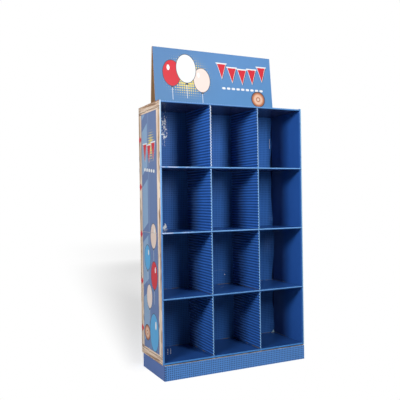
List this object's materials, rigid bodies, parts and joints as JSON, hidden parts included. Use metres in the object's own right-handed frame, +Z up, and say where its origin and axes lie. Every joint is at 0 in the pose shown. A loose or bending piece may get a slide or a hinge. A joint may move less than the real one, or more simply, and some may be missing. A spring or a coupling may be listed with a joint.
{
  "type": "cardboard display stand",
  "caption": "Open shelf display of folded corrugated board, with cells in rows and columns, a low plinth and a tent-shaped header card.",
  "frame": {"origin": "on the floor, in the middle of the footprint", "axes": "+Z up, +X to the right seen from the front, -Y towards the person in front of the open cells"},
  "size_m": [0.5, 0.1812, 1.0078],
  "materials": {
    "printed_sleeve": "satin print over paper: wood grain frame with blue fields",
    "dotted_blue_sheet": "gloss-laminated blue print with a fine dot grid",
    "blue_sheet": "gloss-laminated blue print",
    "fluted_blue_board": "satin blue print over coarse flutes, raw edges",
    "printed_header": "satin light blue print, raw kraft inside",
    "plinth_board": "satin blue print with dots, raw kraft top edge",
    "kraft_board": "raw kraft"
  },
  "bodies": {
    "root": {"outer_sleeve": "printed_sleeve", "back_liner": "dotted_blue_sheet", "bottom_shelf": "blue_sheet", "shelf_lower": "blue_sheet", "shelf_middle": "blue_sheet", "shelf_upper": "blue_sheet", "top_panel": "blue_sheet", "divider_1": "fluted_blue_board", "divider_2": "fluted_blue_board", "header_card": "printed_header", "plinth": "plinth_board", "plinth_rib_long": "kraft_board", "plinth_rib_1": "kraft_board", "plinth_rib_2": "kraft_board"}
  },
  "joints": []
}
